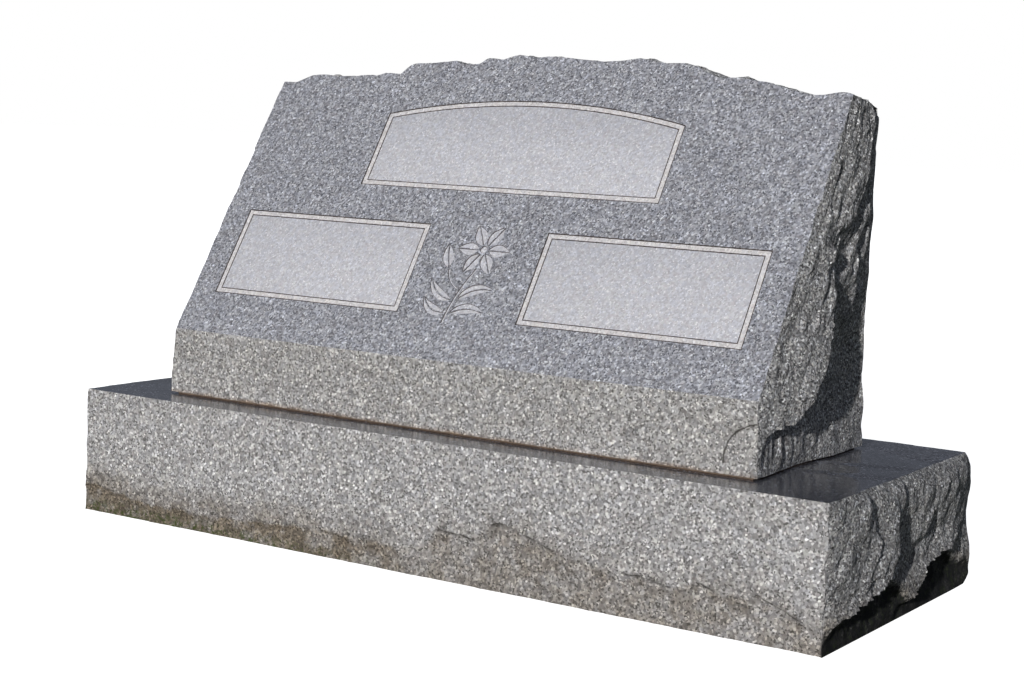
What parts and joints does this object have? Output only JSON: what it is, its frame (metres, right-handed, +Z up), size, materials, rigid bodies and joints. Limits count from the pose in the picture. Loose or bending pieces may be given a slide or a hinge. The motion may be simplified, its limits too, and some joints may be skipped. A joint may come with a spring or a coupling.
{
  "type": "slant headstone",
  "caption": "Grey granite slant headstone: crowned tablet with sunk panels and a flower spray on a wide base, rock-pitched ends, top and back.",
  "frame": {"origin": "middle of the base stone's underside, which stands on the ground", "axes": "+X along the stone to the reader's right, -Y out of the front that is read, +Z up"},
  "size_m": [1.1911, 0.4732, 0.6749],
  "materials": {
    "base_granite": "matte",
    "tablet_granite": "satin",
    "setting_compound": "matte"
  },
  "bodies": {
    "root": {"base_stone": "base_granite", "setting_bed": "setting_compound", "slant_tablet": "tablet_granite"}
  },
  "joints": []
}
